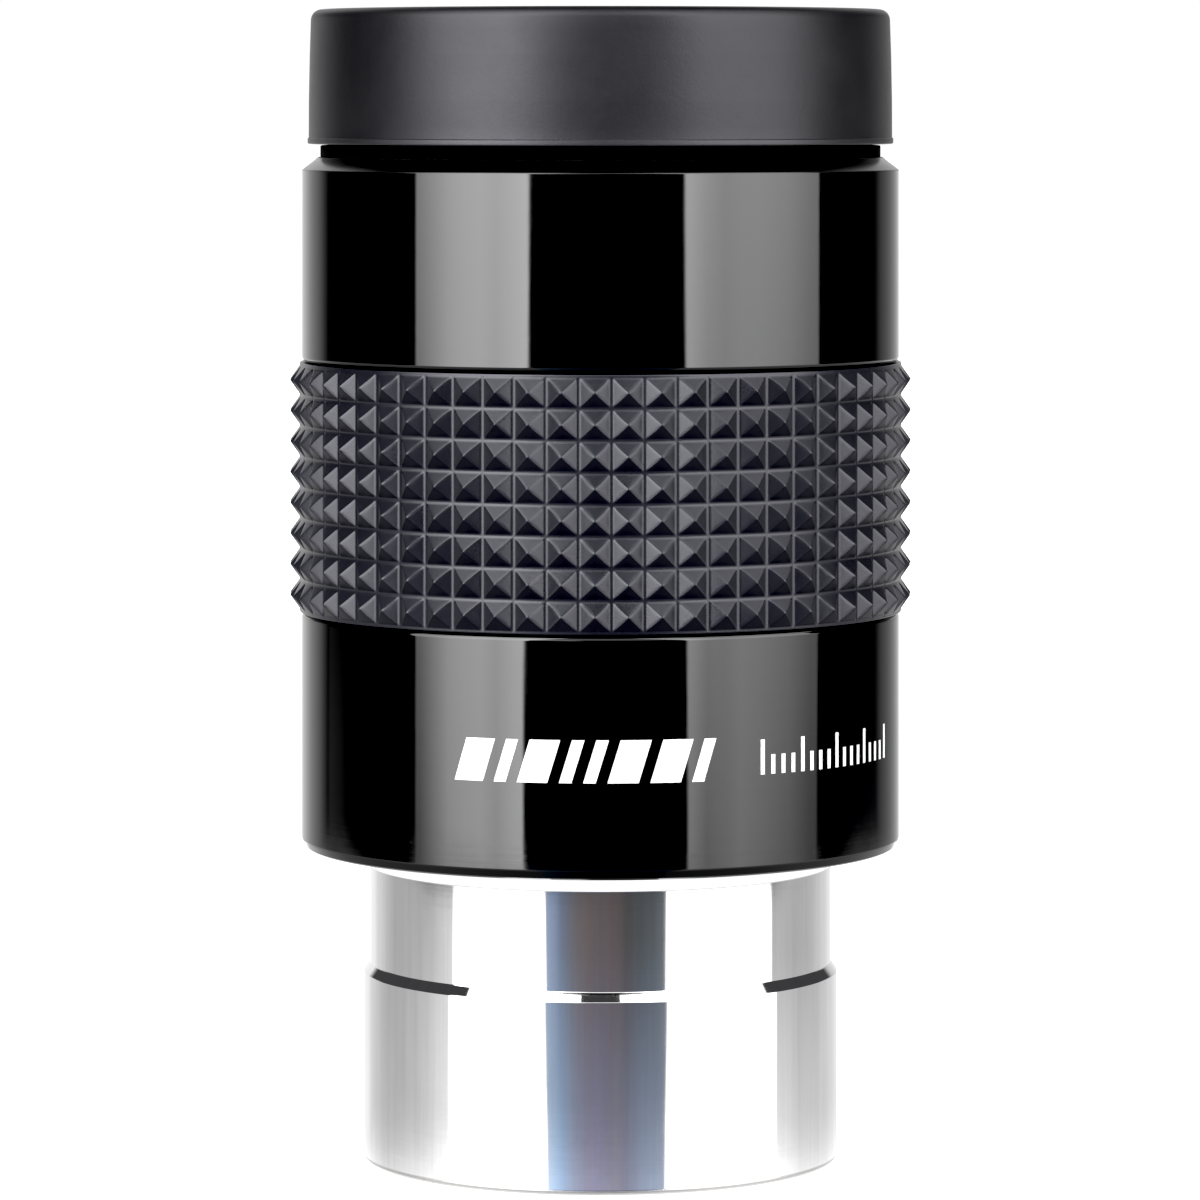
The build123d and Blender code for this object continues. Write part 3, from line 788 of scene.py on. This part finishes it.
for node in ("lens_spacer", "lens_retaining_ring", "field_stop_ring"):
    o = frame["nodes"][node]
    o.data.materials.clear()
    o.data.materials.append(ANODISED)

# --------------------------------------------------------------------------
# printed marks: plain bars in white ink, where the housing carries its print
# --------------------------------------------------------------------------
INK_IN, INK_OUT = 20.045, 20.062


def bar(verts, faces, s0, s1, z0, z1, lean=0.0):
    """One closed, slightly raised bar: s is the distance round the housing from its front centre, in mm."""
    cols = max(1, int(math.ceil((s1 - s0) / 0.18)))
    base = len(verts)
    for i in range(cols + 1):
        s = s0 + (s1 - s0) * i / cols
        for (z, shift) in ((z0, 0.0), (z1, lean)):
            a = -math.pi / 2 + (s + shift) / 20.05
            for r in (INK_IN, INK_OUT):
                verts.append((r * MM * math.cos(a), r * MM * math.sin(a), z * MM))
    # per column: 0 low inner, 1 low outer, 2 high inner, 3 high outer
    for i in range(cols):
        p, q = base + 4 * i, base + 4 * (i + 1)
        faces.append((p + 1, q + 1, q + 3, p + 3))
        faces.append((p, p + 2, q + 2, q))
        faces.append((p, q, q + 1, p + 1))
        faces.append((p + 2, p + 3, q + 3, q + 2))
    e = base + 4 * cols
    faces.append((base, base + 1, base + 3, base + 2))
    faces.append((e, e + 2, e + 3, e + 1))


mv, mf = [], []
PRINT0 = H0 + 6.25
widths = [2.0, 0.8, 2.0, 0.8, 0.8, 2.0, 2.0, 0.8]
s = -9.75
for i, wd in enumerate(widths):
    bar(mv, mf, s, s + wd, PRINT0, PRINT0 + 2.75, lean=0.85)
    s += wd + 0.76
for i in range(17):
    s = 10.85 + i * 0.82
    tall = 2.25 if i % 4 == 0 else 1.25
    bar(mv, mf, s, s + 0.30, PRINT0 + 0.25, PRINT0 + 0.25 + tall)
mark_mesh = bpy.data.meshes.new("printed_marks")
mark_mesh.from_pydata(mv, [], mf)
mark_mesh.materials.append(INK)
mark_mesh.update()
marks = link(mark_mesh, "printed_marks")
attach(marks, "housing")

# --------------------------------------------------------------------------
# studio: a pale floor, and soft light boxes all round it
# --------------------------------------------------------------------------
floor_mesh = bpy.data.meshes.new("floor")
bm = bmesh.new()
bmesh.ops.create_grid(bm, x_segments=8, y_segments=8, size=6.0)
bm.to_mesh(floor_mesh)
bm.free()
floor = link(floor_mesh, "floor")
floor.location = (0, 0, -0.00002)
fm = Nodes("floor_paper")
tone = fm.noise(40, 3, 0.5)
paper = fm.principled(Base_Color=fm.mix(fm.span(tone, 0.3, 0.7), (0.46, 0.46, 0.46), (0.48, 0.48, 0.48)), Roughness=0.9)
flp = fm.new("ShaderNodeLightPath")
# painted light: seen by the camera at a low angle the paper glows white, which washes out the shadows on it
fg = fm.new("ShaderNodeNewGeometry")
fs = fm.new("ShaderNodeSeparateXYZ")
fm.wire(fg.outputs["Incoming"], fs.inputs[0])
low_angle = fm.span(fs.outputs[2], 0.21, 0.34, 1.0, 0.06, True)
fm.wire(fm.math("MULTIPLY", flp.outputs["Is Camera Ray"], low_angle), paper.inputs["Emission Strength"])
paper.inputs["Emission Color"].default_value = (1, 1, 1, 1)
# and from underneath it isn't there at all, so that the open end of the nosepiece can be looked into
below = fm.new("ShaderNodeMixShader")
see_through = fm.new("ShaderNodeBsdfTransparent")
fm.wire(fg.outputs["Backfacing"], below.inputs[0])
fm.wire(paper.outputs[0], below.inputs[1])
fm.wire(see_through.outputs[0], below.inputs[2])
fm.wire(below.outputs[0], fm.out.inputs[0])
floor.data.materials.append(fm.mat)
floor.visible_glossy = False
floor.visible_diffuse = False

world = bpy.data.worlds.new("studio")
scene.world = world
world.use_nodes = True
wt = world.node_tree
wt.nodes.clear()


class W(Nodes):
    def __init__(self, tree):
        self.t = tree
        self.out = tree.nodes.new("ShaderNodeOutputWorld")

    def step(self, v, edge, soft):
        """0 below the edge, 1 above it."""
        return self.span(v, edge - soft, edge + soft, 0.0, 1.0, True)

    def ramp(self, v, lo, hi, stops, top=2.0):
        """Colour along v from (value, level or colour) stops, linear between them; levels up to top."""
        n = self.new("ShaderNodeValToRGB")
        e = n.color_ramp.elements
        n.color_ramp.interpolation = "LINEAR"
        while len(e) > 1:
            e.remove(e[-1])
        for i, (x, c) in enumerate(stops):
            c = c if isinstance(c, tuple) else (c, c, c)
            el_ = e[0] if i == 0 else e.new(min(1.0, max(0.0, (x - lo) / (hi - lo))))
            el_.position = min(1.0, max(0.0, (x - lo) / (hi - lo)))
            el_.color = (c[0] / top, c[1] / top, c[2] / top, 1.0)
        self.wire(self.span(v, lo, hi), n.inputs[0])
        return self.vector("SCALE", n.outputs[0], top)


w = W(wt)
tc = w.new("ShaderNodeTexCoord")
sep = w.new("ShaderNodeSeparateXYZ")
w.wire(tc.outputs["Generated"], sep.inputs[0])
dx, dy, dz = sep.outputs
# azimuth from the front, positive to the right; elevation above the horizon; both in degrees
az = w.math("MULTIPLY", w.math("ARCTAN2", dx, w.math("MULTIPLY", dy, -1)), 180 / math.pi)
el = w.math("MULTIPLY", w.math("ARCSINE", dz), 180 / math.pi)
absaz = w.math("ABSOLUTE", az)

# two soft boxes; the azimuths of their inner and outer edges change with height
def edges(stops):
    """An azimuth along the elevation, from (elevation, azimuth) stops."""
    r = w.ramp(el, -12, 72, [(x, v / 120) for x, v in stops], 1.0)
    n = w.new("ShaderNodeSeparateXYZ")
    w.wire(r, n.inputs[0])
    return w.math("MULTIPLY", n.outputs[0], 120)


l_in = w.math("MULTIPLY", edges([(-12, 24.9), (-10, 24.9), (-8.9, 26.2), (-7.4, 27.2), (-7.2, 29.4), (-5.6, 29.3), (-3.3, 27.5), (-1, 27.0), (6, 27.0), (20, 22.5), (40, 17.5), (62, 15.0), (72, 15.0)]), -1)
r_in = edges([(-12, 30.8), (-10, 30.8), (-8.5, 32.2), (-7.4, 32.6), (-7.2, 33.4), (-3.3, 32.7), (-1, 32.1), (6, 32.0), (20, 26.0), (40, 19.0), (62, 15.0), (72, 15.0)])
l_out = w.math("MULTIPLY", edges([(-12, 79.2), (-7.4, 78.7), (-7.2, 74.8), (0, 74.6), (45, 87.0), (72, 92.0)]), -1)
r_out = edges([(-12, 95.0), (-7.4, 94.8), (-7.2, 90.6), (-3.3, 91.8), (0, 92.2), (4, 87.5), (24, 88.5), (33, 101.0), (38, 105.0), (72, 112.0)])


def inside(v, lo, hi, soft):
    a = w.span(w.math("SUBTRACT", v, lo), -soft, soft, 0.0, 1.0, True)
    b = w.span(w.math("SUBTRACT", hi, v), -soft, soft, 0.0, 1.0, True)
    return w.math("MULTIPLY", a, b)


l_level = w.ramp(az, -110, -10, [(-110, 4.6), (-76, 4.8), (-73, 5.0), (-66.6, 6.55), (-60, 8.3), (-53.6, 9.4), (-46.5, 10.0), (-40, 9.65), (-33, 10.6), (-28, 11.5), (-10, 9.0)], 12.0)
r_level = w.ramp(az, 10, 120, [(10, 8.4), (32, 9.6), (35, 9.0), (41, 7.4), (48, 6.1), (55, 6.27), (62, 6.3), (69, 5.9), (77, 5.2), (87, 3.8), (92, 3.2), (120, 3.0)], 12.0)
# lower down the boxes are dimmer, mostly towards their outer ends
sink = w.span(el, -7.0, 0.0, 1.0, 0.0)
l_sink = w.ramp(az, -110, -10, [(-110, 0.75), (-73, 0.73), (-66.6, 0.48), (-60, 0.29), (-53.6, 0.28), (-46.5, 0.27), (-40, 0.34), (-33, 0.24), (-10, 0.24)], 1.0)
r_sink = w.ramp(az, 10, 120, [(10, 0.50), (35, 0.54), (41, 0.63), (48, 0.47), (55, 0.40), (62, 0.48), (69, 0.54), (77, 0.61), (87, 0.75), (120, 0.75)], 1.0)
l_drop = w.math("SUBTRACT", 1.0, w.math("MULTIPLY", sink, l_sink))
r_drop = w.math("SUBTRACT", 1.0, w.math("MULTIPLY", sink, r_sink))
shelf_at = w.span(absaz, 92, 118, -7.30, -6.95, True)
shelf = w.math("SUBTRACT", 1.0, w.span(w.math("SUBTRACT", el, shelf_at), -0.12, 0.12, 0.0, 1.0, True))
tall = w.math("SUBTRACT", 1.0, shelf)
height = w.ramp(el, -60, 70, [(-60, 1.0), (20, 1.0), (36, 0.80), (50, 0.62), (62, 0.55), (70, 0.5)], 1.0)
height = w.vector("SCALE", height, w.math("SUBTRACT", 1.0, w.step(el, 65.0, 2.0)))
left_on, right_on = inside(az, l_out, l_in, 0.8), inside(az, r_in, r_out, 0.8)
# the box on the far side of the object is turned down when the camera is square to the other side
left_dimmer, right_dimmer = w.new("ShaderNodeValue"), w.new("ShaderNodeValue")
left_dimmer.outputs[0].default_value = right_dimmer.outputs[0].default_value = 1.0
left = w.vector("SCALE", w.vector("MULTIPLY", l_level, height), w.math("MULTIPLY", w.math("MULTIPLY", w.math("MULTIPLY", left_on, tall), l_drop), left_dimmer.outputs[0]))
r_height = w.vector("MULTIPLY", height, w.ramp(el, 0, 40, [(0, 1.0), (6, 1.0), (20, 0.86), (40, 0.84)], 1.0))
right = w.vector("SCALE", w.vector("MULTIPLY", r_level, r_height), w.math("MULTIPLY", w.math("MULTIPLY", w.math("MULTIPLY", right_on, tall), r_drop), right_dimmer.outputs[0]))
# the white cloths under the boxes, fading away downwards
cloth = w.ramp(el, -60, 0, [(-60, 0.10), (-52, 0.10), (-42, 0.45), (-30, 0.85), (-14, 0.92), (-11.2, 1.0), (-10.4, 2.2), (0, 2.2)], 2.5)
cloth = w.vector("SCALE", cloth, w.math("MULTIPLY", shelf, w.math("ADD", left_on, right_on, True)))

# a dim ceiling panel in front, between the boxes
fill = w.math("MULTIPLY", w.math("MULTIPLY", inside(el, 15.0, 47.0, 5.0), inside(az, -32.0, 36.0, 5.0)), 1.9)
low_fill = w.math("MULTIPLY", w.math("MULTIPLY", inside(el, 4.0, 15.0, 2.0), inside(az, -29.0, -8.0, 4.0)), 4.2)
fill = w.math("MAXIMUM", fill, low_fill)

# behind the object the white backdrop; a gap above it, then a paler band under the ceiling
back = w.ramp(az, -180, 180, [
    (-180, 1.05), (-156, 1.0), (-147, 0.78), (-141, 0.64), (-137, 0.50), (-132, 0.20), (-128, 0.0),
    (128, 0.0), (133, 0.10), (137, 0.28), (142, 0.36), (150, 0.50), (157, 0.66), (167, 0.90), (180, 1.05),
], 1.5)
near_on = w.math("SUBTRACT", 1.0, w.step(el, 9.0, 3.0))
far_on = w.math("MULTIPLY", inside(el, 26.0, 41.0, 3.0), w.step(absaz, 134.0, 3.0))
rear_on = w.math("MULTIPLY", w.math("SUBTRACT", 1.0, w.step(el, 38.0, 5.0)), w.step(absaz, 152.0, 4.0))
back = w.vector("SCALE", back, w.math("MAXIMUM", near_on, w.math("MAXIMUM", far_on, rear_on)))
foot = w.ramp(az, -180, 180, [(-180, 0.0), (-131, 0.0), (-127, 0.16), (-118, 0.12), (-108, 0.0), (180, 0.0)], 1.0)
foot = w.vector("SCALE", foot, w.math("MULTIPLY", w.span(el, -6.0, -3.0, 1.0, 0.0), tall))

# under the horizon line the table's surroundings: pale and cool at the sides, a dim gap in front
upper = w.ramp(az, -180, 180, [
    (-180, 1.09), (-141, 0.72), (-125, 0.485), (-113, 0.51), (-102, 0.525), (-92, 0.62), (-83, 0.80), (-79, 0.85),
    (-31, 0.62), (-28, (0.40, 0.49, 0.66)), (-24, (0.33, 0.41, 0.585)), (-19, (0.20, 0.24, 0.33)), (-13, (0.19, 0.185, 0.20)),
    (-6.5, (0.184, 0.155, 0.152)), (0, (0.153, 0.138, 0.143)), (6.5, (0.153, 0.125, 0.128)), (13, (0.105, 0.10, 0.098)),
    (19, (0.10, 0.11, 0.116)), (26, (0.119, 0.134, 0.146)), (31, (0.17, 0.19, 0.21)), (33, 0.55),
    (94, 0.60), (102, 0.58), (113, 0.53), (125, 0.53), (141, 0.68), (180, 1.07),
], 1.5)
lower = w.ramp(az, -180, 180, [
    (-180, 1.05), (-142, 0.71), (-126, 0.56), (-113, 0.585), (-102, 0.65), (-92, 0.74), (-83, 0.89), (-79, 0.95),
    (-31, 0.70), (-28, (0.50, 0.63, 0.78)), (-25, (0.46, 0.58, 0.735)), (-19, (0.29, 0.40, 0.57)), (-13, (0.256, 0.29, 0.386)),
    (-6.5, (0.23, 0.23, 0.31)), (0, (0.214, 0.214, 0.30)), (6.5, (0.206, 0.206, 0.256)), (13, (0.19, 0.20, 0.265)),
    (19, (0.22, 0.256, 0.34)), (26, (0.235, 0.28, 0.365)), (31, (0.28, 0.32, 0.40)), (33, 0.6),
    (94, 0.88), (102, 0.82), (113, 0.71), (126, 0.70), (142, 0.75), (180, 1.0),
], 1.5)
table = w.mix(w.span(el, -9.3, -7.9, 1.0, 0.0), upper, lower)
table = w.vector("SCALE", table, w.ramp(el, -60, -5, [
    (-60, 0.35), (-45, 0.5), (-25, 0.9), (-14, 1.0), (-10.6, 1.9), (-10.1, 2.0), (-9.7, 1.2), (-9.4, 1.0), (-5, 1.0)], 2.5))
table = w.vector("SCALE", table, shelf)
# the white table top itself, seen steeply down in front and ever less steeply towards the back
rim = w.ramp(absaz, 0, 180, [(0, 62.0 / 90), (32, 60.5 / 90), (60, 56.0 / 90), (85, 50.0 / 90), (105, 42.5 / 90), (122, 34.6 / 90), (140, 26.5 / 90), (155, 18.5 / 90), (171, 12.0 / 90), (180, 11.0 / 90)], 1.0)
rn = w.new("ShaderNodeSeparateXYZ")
w.wire(rim, rn.inputs[0])
edge = w.math("MULTIPLY", rn.outputs[0], -90)
top_on = w.math("MULTIPLY", w.span(w.math("SUBTRACT", edge, el), -1.5, 1.5, 0.0, 1.0, True), w.step(el, -79, 2))
top_level = w.math("MULTIPLY", top_on, 1.35)

level = left
for extra in (right, cloth, back, foot, table, w.combine(fill, fill, fill), w.combine(top_level, top_level, top_level), w.combine(0.065, 0.065, 0.068)):
    n = w.new("ShaderNodeVectorMath", operation="MAXIMUM")
    w.wire(level, n.inputs[0])
    w.wire(extra, n.inputs[1])
    level = n.outputs[0]

bg = w.new("ShaderNodeBackground")
w.wire(level, bg.inputs[0])
bg.inputs[1].default_value = 1.0
seen = w.new("ShaderNodeBackground")
seen.inputs[0].default_value = (1, 1, 1, 1)
seen.inputs[1].default_value = 1.02
lp = w.new("ShaderNodeLightPath")
ms = w.new("ShaderNodeMixShader")
w.wire(lp.outputs["Is Camera Ray"], ms.inputs[0])
w.wire(bg.outputs[0], ms.inputs[1])
w.wire(seen.outputs[0], ms.inputs[2])
w.wire(ms.outputs[0], w.out.inputs[0])
world.cycles.sampling_method = "MANUAL"
world.cycles.sample_map_resolution = 2048

# --------------------------------------------------------------------------
# camera: level with the eyecup, the picture shifted down to hold the whole object
# --------------------------------------------------------------------------
cam_data = bpy.data.cameras.new("camera")
cam = bpy.data.objects.new("camera", cam_data)
scene.collection.objects.link(cam)
cam_data.sensor_width = 36.0
cam_data.lens = 185.25
cam_data.clip_start, cam_data.clip_end = 0.01, 50
cam.location = (-0.00003, -0.415, (H0 + 50.6) * MM)
cam.rotation_euler = (math.pi / 2, 0, 0)


def drive(owner, where, expression, **sources):
    """A driver whose variables are world-space coordinates of objects, given as name=(object, axis letter)."""
    curve_ = owner.driver_add(*where)
    curve_.driver.type = "SCRIPTED"
    for name, (target, axis) in sources.items():
        var = curve_.driver.variables.new()
        var.name = name
        var.type = "TRANSFORMS"
        var.targets[0].id = target
        var.targets[0].transform_type = "LOC_" + axis
        var.targets[0].transform_space = "WORLD_SPACE"
    curve_.driver.expression = expression


# the frame grows and the floor sinks with the joints, so that a raised eyecup stays in the picture
# and a lowered nosepiece still stands on the floor; at rest both are exactly as set above
RIM_BODY, NOSE_BODY = frame["bodies"]["eyecup_rim"], frame["bodies"]["nosepiece"]
HIGH = 36.0 * 0.415 / 185.25
grown = "1.1 * max(0, u - %.5f)" % ((CUP1 - RIM1) * MM)
drive(cam_data, ("lens",), "14.94 / (%.9f + %s - 1.15 * t)" % (HIGH, grown), u=(RIM_BODY, "Z"), t=(NOSE_BODY, "Z"))
drive(
    cam_data, ("shift_y",),
    "(%.9f + (%s + 1.15 * t) / 2) / (%.9f + %s - 1.15 * t) if abs(y + 0.415) < 0.0005 else 0.0" % (-0.425 * HIGH, grown, HIGH, grown),
    u=(RIM_BODY, "Z"), t=(NOSE_BODY, "Z"), y=(cam, "Y"),
)
drive(floor, ("location", 2), "t - 0.00002", t=(NOSE_BODY, "Z"))
for dimmer, test in ((left_dimmer, "x > 3 * abs(y)"), (right_dimmer, "-x > 3 * abs(y)")):
    drive(dimmer.outputs[0], ("default_value",), "0.11 if " + test + " else 1.0", x=(cam, "X"), y=(cam, "Y"))
scene.camera = cam
